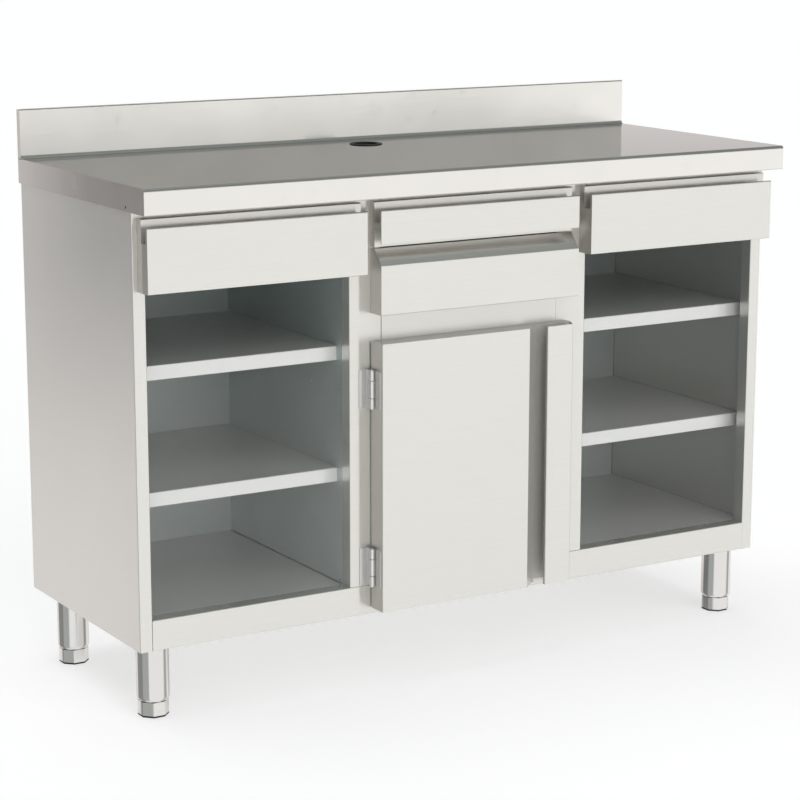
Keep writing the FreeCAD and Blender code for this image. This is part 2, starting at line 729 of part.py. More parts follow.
def make_drawer(name, middle, opening, level, box_low, box_tall):
    """The runners and the box of one drawer. The fixed members and brackets are returned."""
    near = carcass_front + runner_inset
    fixed = []
    brackets = []
    middles = []
    moving = []
    for side in (-1, 1):
        wall = middle + opening / 2 * side
        towards = -side
        fixed.append(make_runner(wall, towards, level, near, size(0), fixed_reach, runner_height))
        middles.append(make_runner(wall, towards, level, near, middle_web, middle_reach,
                                   runner_height - middle_less))
        moving.append(make_runner(wall, towards, level, near, runner, moving_reach,
                                  runner_height - moving_less))
        brackets.append(make_bracket(wall, towards, level))
    keep(group(middles), name + "_middle_runners")
    keep(group(moving), name + "_runners")
    make_drawer_box(name + "_box", middle, opening, box_low, box_tall)
    return fixed, brackets


def make_drawers():
    bay_middle = (bay_out + post_outer) / 2
    bay_opening = bay_out - post_outer
    centre_opening = post_inner * 2
    half = front_width / 2
    made = []
    for name, sign in (("left_drawer", -1), ("right_drawer", 1)):
        start = front_out * sign - half
        make_side_front(name + "_front", start)
        make_backer(name + "_backer", start, drawer_low)
        made.append(make_drawer(name, bay_middle * sign, bay_opening, drawer_low + side_level,
                                drawer_low + side_floor, side_tall))
    make_upper_front("upper_drawer_front", -half)
    make_backer("upper_drawer_backer", -half, upper_back_low)
    made.append(make_drawer("upper_drawer", size(0), centre_opening, upper_back_low + upper_level,
                            upper_back_low + upper_floor, upper_tall))
    make_lower_front("lower_drawer_front", -half)
    make_lower_backer("lower_drawer_backer", -half)
    made.append(make_drawer("lower_drawer", size(0), centre_opening, lower_low + lower_level,
                            lower_low + lower_floor, lower_tall))
    keep(group([member for fixed, brackets in made for member in fixed]), "fixed_runners")
    keep(group([angle for fixed, brackets in made for angle in brackets]), "runner_brackets")


# ---------------------------------------------------------------- door and hinges

def make_door():
    """A hollow door: folded skin with a grip channel, flat liner and grip strip."""
    left = -front_width / 2
    right = front_width / 2
    face = front + door_inset
    floor = front + grip_back
    far = front + door_back - gauge
    tall = door_high - door_low
    turn = left + panel_width
    strip_right = right - strip_slant
    strip_left = strip_right - strip_width
    path = [(left, far), (left, face), (turn, face), (turn + grip_slant, floor),
            (right, floor), (right, far)]
    skin = folded("Skin", "XY", path, 1, door_low, tall)
    inside = [(left + gauge, far), (left + gauge, face + gauge), (turn - gauge, face + gauge),
              (turn + grip_slant - gauge, floor + gauge), (right - gauge, floor + gauge),
              (right - gauge, far)]
    cap_pair(skin, inside, tall, "XY")
    slab(skin, (turn + grip_slant + gauge, floor - gauge, 0),
         (strip_left + hem - turn - grip_slant, gauge, grip_stop))
    keep(skin, "door_skin")

    liner = block((left, far, door_low), (front_width, gauge, tall))
    keep(liner, "door_liner")

    path = [(right - grip_margin, floor - grip_lift), (strip_right, face), (strip_left, face),
            (strip_left, face + strip_hem)]
    grip = folded("Grip", "XY", path, -1, door_low, tall)
    keep(grip, "door_grip")

    strike_low = magnet_low + (magnet_tall - strike_tall) / 2
    strike = block((right - strike_in, front + door_back, strike_low),
                   (strike_width, strike_thick, strike_tall))
    keep(strike, "door_strike")


def make_magnet():
    """The magnetic catch on the inner return of the right post."""
    housing = block((post_inner - magnet_width, front + door_back + magnet_gap, magnet_low),
                    (magnet_width, magnet_deep, magnet_tall))
    return keep(housing, "door_magnet")


def make_hinges():
    """Two cranked hinges with three knuckles each, on the door's left edge."""
    door_edge = -front_width / 2
    pivot_x = door_edge - pivot_out
    pivot_y = front + pivot_back
    root = pivot_y + hinge_root
    centre_tall = hinge_tall - hinge_end * 2
    relief = knuckle + knuckle_relief
    frame_leaves = []
    door_leaves = []
    pins = []

    def turned(radius, start, tall):
        return rod((pivot_x, pivot_y, start), radius, tall)

    for middle in (hinge_low, hinge_high):
        bottom = middle - hinge_tall / 2
        centre_low = bottom + hinge_end
        # frame side: a flat leaf on the post, a crank, and the knuckles at both ends
        plate = block((pivot_x - hinge_reach, carcass_front - hinge_plate, bottom),
                      (hinge_reach, hinge_plate, hinge_tall))
        crank = block((pivot_x - hinge_plate, root, bottom),
                      (hinge_plate, carcass_front - root, hinge_tall))
        window = block((pivot_x - knuckle, pivot_y - knuckle, centre_low),
                       (knuckle * 2, knuckle * 2 + over, centre_tall))
        eye = turned(pin_radius + pin_grip, bottom - over, hinge_tall + over * 2)
        gap = turned(knuckle + over, centre_low, centre_tall)
        frame_leaves.append(cut(welded([plate, crank, turned(knuckle, bottom, hinge_tall)]),
                                welded([window, eye, gap])))
        # door side: a leaf on the door's edge and the middle knuckle
        wing = block((door_edge - hinge_plate, pivot_y - hinge_wing, bottom),
                     (hinge_plate, hinge_wing, hinge_tall))
        sleeve = turned(knuckle, centre_low + knuckle_gap, centre_tall - knuckle_gap * 2)
        below = turned(relief, bottom - over, hinge_end + over + knuckle_gap)
        above = turned(relief, centre_low + centre_tall - knuckle_gap, hinge_end + over)
        hole = turned(pin_radius + pin_play, bottom - over, hinge_tall + over * 2)
        door_leaves.append(cut(welded([wing, sleeve]), welded([below, above, hole])))
        shank = turned(pin_radius, bottom - pin_head, hinge_tall + pin_head * 2)
        heads = [turned(pin_radius + pin_brim, start, pin_head)
                 for start in (bottom - pin_head, bottom + hinge_tall)]
        pins.append(welded([shank] + heads))
    keep(group(frame_leaves), "hinge_frame_leaves")
    keep(group(door_leaves), "hinge_door_leaves")
    keep(group(pins), "hinge_pins")


# ---------------------------------------------------------------- legs and feet

def octagon(x, y, corner):
    """The corners of an octagon with its flats square to the counter."""
    corners = []
    for k in range(8):
        bearing = math.radians(22.5 + 45 * k)
        corners.append((x + corner * round(math.cos(bearing), 6),
                        y + corner * round(math.sin(bearing), 6)))
    return corners


def make_foot(name, x, y):
    """An eight-sided foot and its levelling stem."""
    body = new_body(name)
    bind(body, "Placement.Base.z", sole)
    pad(body, "XY", octagon(x, y, foot_corner), foot_high - sole)
    stem = body.newObject("PartDesign::AdditiveCylinder", "Stem")
    bind(stem, "Radius", stem_radius)
    bind(stem, "Height", stem_length)
    place(stem, (x, y, foot_high - sole))
    return keep(body, name)


def tapered(x, y, low_end, low_radius, high_end, high_radius):
    """An upright cone frustum between two heights."""
    cone = doc.addObject("Part::Cone", "Taper")
    bind(cone, "Radius1", low_radius)
    bind(cone, "Radius2", high_radius)
    bind(cone, "Height", high_end - low_end)
    place(cone, (x, y, low_end))
    return cone


def make_leg(where, x, y):
    """One leg: flange plate, tube with its narrowed lower end, and bush, with its foot and
    sole. The fixed pieces are returned."""
    under = base_top - gauge
    plate = rod((x, y, under - flange_thick), flange_radius, flange_thick)
    tall = under - flange_thick - tube_low
    tube_end = foot_high + foot_gap
    knee = tube_low - knee_drop
    waist = leg_radius - knee_taper
    bore = leg_radius - leg_wall
    mouth = bore - skirt_taper
    shell = welded([rod((x, y, tube_low), leg_radius, tall),
                    tapered(x, y, knee, waist, tube_low, leg_radius),
                    tapered(x, y, tube_end, leg_radius - skirt_taper, knee, waist)])
    hollow = welded([rod((x, y, tube_low), bore, tall + over),
                     rod((x, y, tube_end - over), mouth, tube_low - tube_end + over * 2)])
    tube = cut(shell, hollow)
    plug = welded([rod((x, y, tube_low), bore, bush_high - tube_low),
                   rod((x, y, tube_end), mouth, tube_low - tube_end)])
    thread = rod((x, y, foot_high), stem_radius + stem_play, bush_high)
    bush = cut(plug, thread)
    make_foot("foot_" + where, x, y)
    tread = new_body("sole_" + where)
    pad(tread, "XY", octagon(x, y, sole_corner), sole)
    keep(tread, "sole_" + where)
    return plate, tube, bush


def make_legs():
    reach = end - leg_in
    made = [make_leg("front_left", -reach, front + leg_front),
            make_leg("front_right", reach, front + leg_front),
            make_leg("back_left", -reach, front + leg_back),
            make_leg("back_right", reach, front + leg_back)]
    for name, pieces in zip(("leg_flanges", "leg_tubes", "leg_bushes"), zip(*made)):
        keep(group(list(pieces)), name)


# ---------------------------------------------------------------- build, test and write

def main():
    make_worktop()
    make_board()
    make_grommet()
    make_side_panel("left_side_panel", -1)
    make_side_panel("right_side_panel", 1)
    keep(group([make_post(-1), make_post(1)]), "middle_posts")
    keep(group([make_divider(-1), make_divider(1)]), "dividers")
    make_bottom_rail()
    make_centre_rail()
    make_top_rails()
    make_base_panel()
    make_back_panel()
    make_shelves()
    make_rivets()
    make_drawers()
    make_door()
    make_magnet()
    make_hinges()
    make_legs()
    doc.recompute()
    for thing in doc.Objects:
        if {"Invalid", "Error"} & set(thing.State):
            raise RuntimeError("%s did not build" % thing.Label)
    for node in nodes:
        if node.Shape.isNull() or not node.Shape.isValid() or not node.Shape.Solids:
            raise RuntimeError("%s has no valid shape" % node.Label)
    os.makedirs("parts", exist_ok=True)
    for node in nodes:
        node.Shape.exportStep("parts/%s.step" % node.Label)
        print(node.Label, len(node.Shape.Solids), "solids", round(node.Shape.Volume), "mm3")
    print(len(nodes), "nodes")


main()
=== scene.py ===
"""Waiter service station: the visual model of a stainless steel bar counter, laid out as a Blender add-on.

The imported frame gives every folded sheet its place. This file gives the sheets their brushed finishes,
turns the round and threaded pieces in mesh code, rolls the hinges, adds the small hardware, and sets up a
plain pale studio.
"""

import json
import math

import bmesh
import bpy
from mathutils import Matrix, Vector

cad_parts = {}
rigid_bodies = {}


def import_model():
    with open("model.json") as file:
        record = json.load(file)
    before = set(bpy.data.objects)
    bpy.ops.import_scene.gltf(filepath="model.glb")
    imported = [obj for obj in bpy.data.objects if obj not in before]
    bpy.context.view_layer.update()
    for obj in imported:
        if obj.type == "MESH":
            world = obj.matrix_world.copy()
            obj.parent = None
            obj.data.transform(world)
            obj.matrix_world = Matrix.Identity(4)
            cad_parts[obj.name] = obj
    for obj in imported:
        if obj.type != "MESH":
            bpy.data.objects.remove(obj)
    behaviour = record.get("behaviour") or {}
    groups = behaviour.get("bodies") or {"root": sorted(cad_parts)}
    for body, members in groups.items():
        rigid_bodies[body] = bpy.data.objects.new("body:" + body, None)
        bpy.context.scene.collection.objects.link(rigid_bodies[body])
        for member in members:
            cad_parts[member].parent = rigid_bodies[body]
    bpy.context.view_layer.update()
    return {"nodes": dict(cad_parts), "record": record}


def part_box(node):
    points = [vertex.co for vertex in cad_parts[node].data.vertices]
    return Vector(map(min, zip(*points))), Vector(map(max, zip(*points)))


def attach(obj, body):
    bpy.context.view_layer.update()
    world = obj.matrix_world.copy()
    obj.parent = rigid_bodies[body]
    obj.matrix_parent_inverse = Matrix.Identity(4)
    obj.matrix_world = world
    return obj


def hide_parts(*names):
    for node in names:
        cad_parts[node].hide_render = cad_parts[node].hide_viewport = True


for leftover in list(bpy.data.objects):
    bpy.data.objects.remove(leftover)
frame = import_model()
NODES = frame["nodes"]

bl_info = {
    "name": "Waiter service station",
    "version": (1, 0, 0),
    "blender": (4, 5, 0),
    "location": "3D View > Sidebar > Station",
    "description": "Builds the visual model of a stainless steel service counter on its packed frame",
    "category": "Object",
}

MM = 0.001
DRAWERS = ("left_drawer", "right_drawer", "upper_drawer", "lower_drawer")
CORNERS = ("front_left", "front_right", "back_left", "back_right")
EIGHTH = math.tau / 16.0


# Settings that a user may change


class StationSizes(bpy.types.PropertyGroup):
    """Sizes of the small hardware that is modelled here."""

    thread_pitch: bpy.props.FloatProperty(
        name="Thread pitch", description="Rise of the levelling stem's thread for each turn",
        default=2.0 * MM, unit="LENGTH", precision=4)
    thread_depth: bpy.props.FloatProperty(
        name="Thread depth", description="How deep the levelling stem's thread is cut",
        default=1.0 * MM, unit="LENGTH", precision=4)
    foot_bevel: bpy.props.FloatProperty(
        name="Foot bevel", description="Width of the broken edges between a foot's eight flats",
        default=0.5 * MM, unit="LENGTH", precision=4)
    ball_count: bpy.props.IntProperty(
        name="Balls in a row", description="Balls along each edge of a runner's cage",
        default=10, min=2, max=20)
    rivet_count: bpy.props.IntProperty(
        name="Back rivets", description="Blind rivets down each side of the back panel",
        default=6, min=2, max=12)


class StationFinishes(bpy.types.PropertyGroup):
    """Colours of the finishes, one for each material slot."""

    worktop_steel: bpy.props.FloatVectorProperty(
        name="Worktop steel", description="Satin sheet of the worktop and upstand",
        subtype="COLOR", size=3, min=0, max=1, default=(0.80, 0.785, 0.75))
    frame_steel: bpy.props.FloatVectorProperty(
        name="Frame steel", description="Satin sheet of the end panels, posts and rails",
        subtype="COLOR", size=3, min=0, max=1, default=(0.82, 0.81, 0.775))
    front_steel: bpy.props.FloatVectorProperty(
        name="Front steel", description="Satin sheet of the drawer fronts and the door",
        subtype="COLOR", size=3, min=0, max=1, default=(0.82, 0.81, 0.775))
    inner_steel: bpy.props.FloatVectorProperty(
        name="Inner steel", description="Duller sheet of the inner walls and drawer boxes",
        subtype="COLOR", size=3, min=0, max=1, default=(0.545, 0.60, 0.595))
    shelf_steel: bpy.props.FloatVectorProperty(
        name="Shelf steel", description="Satin sheet of the shelves and the base",
        subtype="COLOR", size=3, min=0, max=1, default=(0.80, 0.79, 0.76))
    zinc_steel: bpy.props.FloatVectorProperty(
        name="Zinc-plated steel", description="Runners, brackets, shelf angles and strike plate",
        subtype="COLOR", size=3, min=0, max=1, default=(0.62, 0.63, 0.64))
    hinge_steel: bpy.props.FloatVectorProperty(
        name="Hinge steel", description="Polished hinge leaves and knuckles",
        subtype="COLOR", size=3, min=0, max=1, default=(0.85, 0.84, 0.83))
    pin_steel: bpy.props.FloatVectorProperty(
        name="Pin steel", description="Hinge pins, rivets, screws and balls",
        subtype="COLOR", size=3, min=0, max=1, default=(0.80, 0.80, 0.80))
    leg_steel: bpy.props.FloatVectorProperty(
        name="Leg steel", description="Ground tube of the legs and the levelling feet",
        subtype="COLOR", size=3, min=0, max=1, default=(0.77, 0.76, 0.74))
    bush_plastic: bpy.props.FloatVectorProperty(
        name="Bush plastic", description="Grey bushes in the lower ends of the legs",
        subtype="COLOR", size=3, min=0, max=1, default=(0.55, 0.55, 0.54))
    board_wood: bpy.props.FloatVectorProperty(
        name="Board", description="Water-resistant board under the worktop sheet",
        subtype="COLOR", size=3, min=0, max=1, default=(0.45, 0.34, 0.22))
    grommet_plastic: bpy.props.FloatVectorProperty(
        name="Grommet plastic", description="Black ring of the cable hole",
        subtype="COLOR", size=3, min=0, max=1, default=(0.012, 0.012, 0.012))
    magnet_plastic: bpy.props.FloatVectorProperty(
        name="Magnet plastic", description="White housing of the door's magnetic catch",
        subtype="COLOR", size=3, min=0, max=1, default=(0.82, 0.82, 0.80))
    sole_rubber: bpy.props.FloatVectorProperty(
        name="Sole rubber", description="Black soles under the feet",
        subtype="COLOR", size=3, min=0, max=1, default=(0.014, 0.014, 0.014))


class StationStudio(bpy.types.PropertyGroup):
    """The camera, the floor and the light."""

    lens: bpy.props.FloatProperty(
        name="Lens", description="Focal length on a 36 mm wide sensor", default=108.708, unit="CAMERA")
    eye: bpy.props.FloatVectorProperty(
        name="Eye", description="Where the camera stands", subtype="TRANSLATION", unit="LENGTH",
        default=(-2.60669, -4.30218, 1.58749))
    turn: bpy.props.FloatVectorProperty(
        name="Turn", description="How the camera is turned", subtype="EULER", unit="ROTATION",
        default=(math.radians(78.0366), math.radians(-0.0387), math.radians(-30.9634)))
    surroundings: bpy.props.FloatProperty(
        name="Surroundings", description="Brightness of the pale room around the counter",
        default=1.0, min=0, max=1)
    lamp_power: bpy.props.FloatProperty(
        name="Lamp power", description="Strength of the broad soft lamp overhead", default=1.2, min=0)
    front_power: bpy.props.FloatProperty(
        name="Front lamp power", description="Strength of the broad soft lamp in front", default=1.1, min=0)


# Shader maths


class Field:
    """A value that varies over a surface; Python's operators on it add Math nodes."""

    def __init__(self, tree, socket):
        self.tree = tree
        self.socket = socket

    def math(self, operation, *others):
        node = self.tree.nodes.new("ShaderNodeMath")
        node.operation = operation
        for place, value in zip(node.inputs, (self, *others)):
            wire(self.tree, place, value)
        return Field(self.tree, node.outputs[0])

    def __add__(self, other):
        return self.math("ADD", other)

    def __mul__(self, other):
        return self.math("MULTIPLY", other)

    def __sub__(self, other):
        return self.math("SUBTRACT", other)

    def __rsub__(self, other):
        return self.math("MULTIPLY", -1.0).math("ADD", other)

    def __pow__(self, other):
        return self.math("POWER", other)

    __radd__ = __add__
    __rmul__ = __mul__


def wire(tree, place, value):
    """Gives an input a value, or links it to another node."""
    if isinstance(value, Field):
        value = value.socket
    if isinstance(value, bpy.types.NodeSocket):
        tree.links.new(value, place)
    else:
        place.default_value = value


class Finish:
    """A material or world whose nodes are added by name."""

    def __init__(self, owner):
        owner.use_nodes = True
        self.owner = owner
        self.tree = owner.node_tree
        self.tree.nodes.clear()

    def add(self, kind, settings=None, inputs=None, output=0):
        """Adds a node of a kind, with its settings first and then its inputs, and returns one output."""
        node = self.tree.nodes.new("ShaderNode" + kind)
        for name, value in (settings or {}).items():
            setattr(node, name, value)
        for name, value in (inputs or {}).items():
            wire(self.tree, node.inputs[name], value)
        return Field(self.tree, node.outputs[output])

    def noise(self, place, scale, detail=3.0, roughness=0.5):
        return self.add("TexNoise", {"noise_dimensions": "3D"},
                        {"Vector": place, "Scale": scale, "Detail": detail, "Roughness": roughness})

    def stretched(self, place, scale):
        """Object coordinates pulled out by a scale for each axis."""
        return self.add("Mapping", {"vector_type": "POINT"}, {"Vector": place, "Scale": scale})

    def parts(self, vector):
        """The three parts of a vector."""
        first = self.add("SeparateXYZ", inputs={"Vector": vector})
        outputs = first.socket.node.outputs
        return [Field(self.tree, outputs[index]) for index in range(3)]

    def ease(self, value, low, high, start=0.0, end=1.0):
        """Goes smoothly from start at low to end at high."""
        return self.add("MapRange", {"interpolation_type": "SMOOTHSTEP"},
                        {"Value": value, "From Min": low, "From Max": high, "To Min": start, "To Max": end})

    def tint(self, factor, dark, light):
        """A colour between two others."""
        return self.add("Mix", {"data_type": "RGBA"}, {0: factor, 6: dark, 7: light}, output=2)

    def close(self, shader, kind="OutputMaterial"):
        """Feeds a shader to the output, and returns the material or world."""
        last = self.tree.nodes.new("ShaderNode" + kind)
        wire(self.tree, last.inputs["Surface"], shader)
        return self.owner


def shade(colour, factor):
    """A colour made darker or lighter by a factor."""
    return tuple(min(1.0, c * factor) for c in colour[:3]) + (1.0,)


DARK_STREAK = 0.8
PALE_STREAK = 1.2
GRAINS = {"x": (8.0, 330.0, 330.0), "y": (330.0, 8.0, 330.0), "z": (330.0, 330.0, 8.0)}


def brushed(name, colour, roughness=0.17, level_roughness=0.2, grain="x", streaks=0.16, clouds=0.06,
            stretch=0.94, bump=0.05, metal=1.0, level_metal=1.0, low_gain=1.0, lean=1.8, ends=1.0, inside=1.0,
            edge=1.0):
    """Satin sheet: fine streaks along the grain and handling marks.

    Upright faces have a gloss that is drawn out up and down, across the grain. Level faces have a plain
    gloss. The floor light gain is how much paler the sheet gets towards the floor: painted light, in place of
    light bounced up from the floor. The lean tips upright faces back by some degrees. The ends are the tone
    of faces square to the counter's length, darker and browner: painted shade. The inner shade is the tone of
    the
    inner faces of the end panels, darker: painted shade inside the bays. The edge is how much paler upright
    faces are than level ones: painted light on upright faces.
    """
    finish = Finish(bpy.data.materials.new(name))
    place = finish.add("TexCoord", output=3)
    fine = finish.noise(finish.stretched(place, GRAINS[grain]), 1.0, detail=3.0, roughness=0.6)
    hairs = finish.noise(finish.stretched(place, [s * 4.0 for s in GRAINS[grain]]), 1.0, detail=2.0)
    cloud = finish.noise(place, 6.0, detail=4.0, roughness=0.6)
    marks = finish.ease(finish.noise(place, 23.0, detail=6.0, roughness=0.7), 0.58, 0.74)
    tone = (fine - 0.5) * streaks + (hairs - 0.5) * streaks * 0.6 + (cloud - 0.5) * clouds + 0.5

    def streaked(paint, gain=1.0):
        """The colour of the sheet with its streaks, made darker or paler by a gain."""
        return finish.tint(tone, shade(paint, DARK_STREAK * gain), shade(paint, PALE_STREAK * gain))

    base = streaked(colour)
    # Painted light: the sheet is made paler towards the floor, in place of light bounced up from the floor.
    if low_gain > 1.0:
        pale = streaked(colour, low_gain)
        base = finish.tint(finish.ease(finish.parts(place)[2], 0.15, 0.8), pale, base)
    # Painted shade: faces square to the counter's length get a darker, browner copy of the sheet.
    if ends < 1.0:
        painted_end_shade_mask = finish.parts(finish.add("TexCoord", output=1))[0].math("ABSOLUTE")
        painted_end_shade_colour = (colour[0] * ends, colour[1] * ends * 0.98, colour[2] * ends * 0.95)
        base = finish.tint(finish.ease(painted_end_shade_mask, 0.97, 0.99), base, streaked(painted_end_shade_colour))
    # Painted shade: the inner faces of the end panels get a darker copy of the sheet, as if in the shade of
    # the bays.
    if inside < 1.0:
        outward = finish.parts(place)[0] * finish.parts(finish.add("TexCoord", output=1))[0]
        inner = finish.ease(outward, -0.6, -0.5, 1.0, 0.0)
        base = finish.tint(inner, base, streaked(colour, inside))
    wear = (fine - 0.5) * 0.06 + (cloud - 0.5) * 0.05 + marks * 0.03
    height = fine * 0.6 + hairs * 0.4
    normal = finish.add("Bump", inputs={"Strength": bump, "Distance": 0.0002, "Height": height})
    tipped = finish.add("VectorMath", {"operation": "ADD"},
                        {0: normal, 1: (0.0, 0.0, math.tan(math.radians(lean)))})
    tipped = finish.add("VectorMath", {"operation": "NORMALIZE"}, {0: tipped})
    # Painted light: upright faces can get a paler copy of the sheet than level ones.
    upright_with_painted_light = base
    if edge > 1.0:
        upright_with_painted_light = streaked(colour, edge)
    upright = finish.add("BsdfPrincipled", inputs={
        "Base Color": upright_with_painted_light, "Metallic": metal, "Roughness": wear + roughness, "Normal": tipped,
        "Anisotropic": stretch, "Anisotropic Rotation": 0.25})
    level = finish.add("BsdfPrincipled", inputs={
        "Base Color": base, "Metallic": level_metal, "Roughness": wear + level_roughness, "Normal": normal})
    facing = finish.parts(finish.add("TexCoord", output=1))[2]
    lying = finish.ease(facing.math("ABSOLUTE"), 0.5, 0.65)
    return finish.close(finish.add("MixShader", inputs={0: lying, 1: upright, 2: level}))


def plated(name, colour, roughness=0.28, scale=90.0):
    """Zinc or polished steel: bright, with a faint crystal mottle and small scuffs."""
    finish = Finish(bpy.data.materials.new(name))
    place = finish.add("TexCoord", output=3)
    cells = finish.add("TexVoronoi", {"feature": "F1"}, {"Vector": place, "Scale": scale}, output=1)
    grey = finish.add("RGBToBW", inputs={"Color": cells})
    scuff = finish.ease(finish.noise(place, 260.0, detail=5.0, roughness=0.7), 0.52, 0.7)
    cloud = finish.noise(place, 30.0, detail=3.0)
    base = finish.tint(grey * 0.5 + cloud * 0.5, shade(colour, 0.9), shade(colour, 1.08))
    gloss = grey * 0.06 + scuff * 0.12 + cloud * 0.05 + (roughness - 0.06)
    normal = finish.add("Bump", inputs={"Strength": 0.08, "Distance": 0.0002, "Height": scuff})
    shader = finish.add("BsdfPrincipled", inputs={
        "Base Color": base, "Metallic": 1.0, "Roughness": gloss, "Normal": normal})
    return finish.close(shader)


def moulded(name, colour, roughness=0.45, pebble=900.0):
    """Moulded plastic or rubber: a fine pebbled skin with dull rubbed patches."""
    finish = Finish(bpy.data.materials.new(name))
    place = finish.add("TexCoord", output=3)
    grain = finish.noise(place, pebble, detail=2.0)
    rubbed = finish.noise(place, 45.0, detail=4.0, roughness=0.6)
    base = finish.tint(rubbed, shade(colour, 0.85), shade(colour, 1.2))
    gloss = rubbed * 0.16 + grain * 0.08 + (roughness - 0.12)
    normal = finish.add("Bump", inputs={"Strength": 0.15, "Distance": 0.0003, "Height": grain})
    shader = finish.add("BsdfPrincipled", inputs={"Base Color": base, "Roughness": gloss, "Normal": normal})
    return finish.close(shader)


def chipboard(name, colour):
    """Water-resistant board: pressed chips of different browns with a sanded face."""
    finish = Finish(bpy.data.materials.new(name))
    place = finish.add("TexCoord", output=3)
    chips = finish.add("TexVoronoi", {"feature": "F1"},
                       {"Vector": finish.stretched(place, (160.0, 320.0, 420.0)), "Scale": 1.0}, output=1)
    grey = finish.add("RGBToBW", inputs={"Color": chips})
    fibre = finish.noise(finish.stretched(place, (90.0, 900.0, 900.0)), 1.0, detail=4.0)
    base = finish.tint(grey * 0.6 + fibre * 0.4, shade(colour, 0.6), shade(colour, 1.35))
    height = grey * 0.5 + fibre * 0.5
    normal = finish.add("Bump", inputs={"Strength": 0.3, "Distance": 0.0004, "Height": height})
    shader = finish.add("BsdfPrincipled", inputs={
        "Base Color": base, "Roughness": fibre * 0.2 + 0.6, "Normal": normal})
    return finish.close(shader)


FINISH_KINDS = {
    "worktop_steel": (brushed, {"roughness": 0.16, "level_roughness": 0.1}),
    # Frame: painted shade on the inner faces of the end panels.
    "frame_steel": (brushed, {"metal": 0.6, "level_metal": 0.8, "inside": 0.78}),
    # Fronts: painted shade on the faces square to the counter's length.
    "front_steel": (brushed, {"metal": 0.6, "level_metal": 0.9, "ends": 0.66}),
    # Inner walls: painted light, paler towards the floor.
    "inner_steel": (brushed, {"roughness": 0.5, "level_roughness": 0.5, "streaks": 0.1, "clouds": 0.5,
                              "stretch": 0.0, "metal": 0.45, "level_metal": 0.45, "low_gain": 1.5}),
    # Shelves: painted light on the upright edges, and painted light towards the floor.
    "shelf_steel": (brushed, {"level_roughness": 0.4, "clouds": 0.1, "metal": 0.12, "level_metal": 0.6,
                              "edge": 1.22, "low_gain": 1.2}),
    "zinc_steel": (plated, {}),
    # Hinges: painted shade on the faces square to the counter's length.
    "hinge_steel": (brushed, {"roughness": 0.2, "grain": "z", "streaks": 0.1, "stretch": 0.5, "metal": 0.7,
                              "level_metal": 0.9, "lean": 0.0, "ends": 0.66}),
    "pin_steel": (plated, {"roughness": 0.16, "scale": 60.0}),
    "leg_steel": (brushed, {"roughness": 0.17, "streaks": 0.12, "clouds": 0.03, "lean": 0.0}),
    "bush_plastic": (moulded, {}),
    "board_wood": (chipboard, {}),
    "grommet_plastic": (moulded, {"roughness": 0.38, "pebble": 1400.0}),
    "magnet_plastic": (moulded, {"roughness": 0.4}),
    "sole_rubber": (moulded, {"roughness": 0.75, "pebble": 700.0}),
}
made_finishes = {}


def finish_for(slot):
    """The material of a slot, made once."""
    if slot not in made_finishes:
        colour = getattr(bpy.context.scene.station_finishes, slot)
        kind, settings = FINISH_KINDS[slot]
        made_finishes[slot] = kind(slot, tuple(colour), **settings)
    return made_finishes[slot]


def dress(*names):
    """Gives frame nodes the finish of their own material slot."""
    slots = {part["node"]: part["material_slot"] for part in frame["record"]["subparts"]}
    for name in names:
        for place in NODES[name].material_slots:
            place.material = finish_for(slots[name])


# Mesh tools

TURNS = {
    "z": Matrix.Identity(4),
    "x": Matrix.Rotation(math.pi / 2.0, 4, "Y"),
    "-x": Matrix.Rotation(-math.pi / 2.0, 4, "Y"),
    "y": Matrix.Rotation(-math.pi / 2.0, 4, "X"),
}


def placed(where, towards="z"):
    """A matrix that puts a turned shape at a point, with its axis in one direction."""
    return Matrix.Translation(where) @ TURNS[towards]


def lathe(bm, outline, place, steps=64, start=0.0):
    """Turns an outline of (radius, height) points, in millimetres, round the axis of its place.

    An outline that starts on the axis also ends there. Any other is closed from its end to its start.
    """
    ray = Vector((math.cos(start), math.sin(start), 0.0))
    points = [bm.verts.new(place @ ((ray * r + Vector((0.0, 0.0, z))) * MM)) for r, z in outline]
    pairs = list(zip(points, points[1:]))
    if outline[0][0] > 0.0:
        pairs.append((points[-1], points[0]))
    lines = [bm.edges.new(pair) for pair in pairs]
    axis = place.to_3x3() @ Vector((0.0, 0.0, 1.0))
    bmesh.ops.spin(bm, geom=points + lines, cent=place.translation, axis=axis, angle=math.tau, steps=steps,
                   use_merge=True, use_duplicate=False)


def wind_thread(bm, middle, low, high, core, depth, pitch, steps=24):
    """Winds a ridge with a blunt crest round an upright stem, all in metres."""
    turns = int((high - low) / pitch) - 1
    profile = ((core - 0.2 * MM, 0.06), (core + depth, 0.44), (core + depth, 0.56), (core - 0.2 * MM, 0.94))
    points = [bm.verts.new((middle.x + r, middle.y, low + share * pitch)) for r, share in profile]
    end = bm.faces.new(points)
    bmesh.ops.spin(bm, geom=[end], cent=middle, axis=(0.0, 0.0, 1.0), dvec=(0.0, 0.0, pitch / steps),
                   angle=math.tau * turns, steps=steps * turns, use_merge=False, use_duplicate=False)


def fold_strip(bm, path, near, far, thick):
    """A folded strip with a path of (x, z) points, running along y, all in metres."""
    points = [bm.verts.new((x, near, z)) for x, z in path]
    lines = [bm.edges.new(pair) for pair in zip(points, points[1:])]
    swept = bmesh.ops.extrude_edge_only(bm, edges=lines)["geom"]
    moved = [item for item in swept if isinstance(item, bmesh.types.BMVert)]
    faces = [item for item in swept if isinstance(item, bmesh.types.BMFace)]
    bmesh.ops.translate(bm, verts=moved, vec=(0.0, far - near, 0.0))
    bmesh.ops.recalc_face_normals(bm, faces=faces)
    bmesh.ops.solidify(bm, geom=faces, thickness=thick)


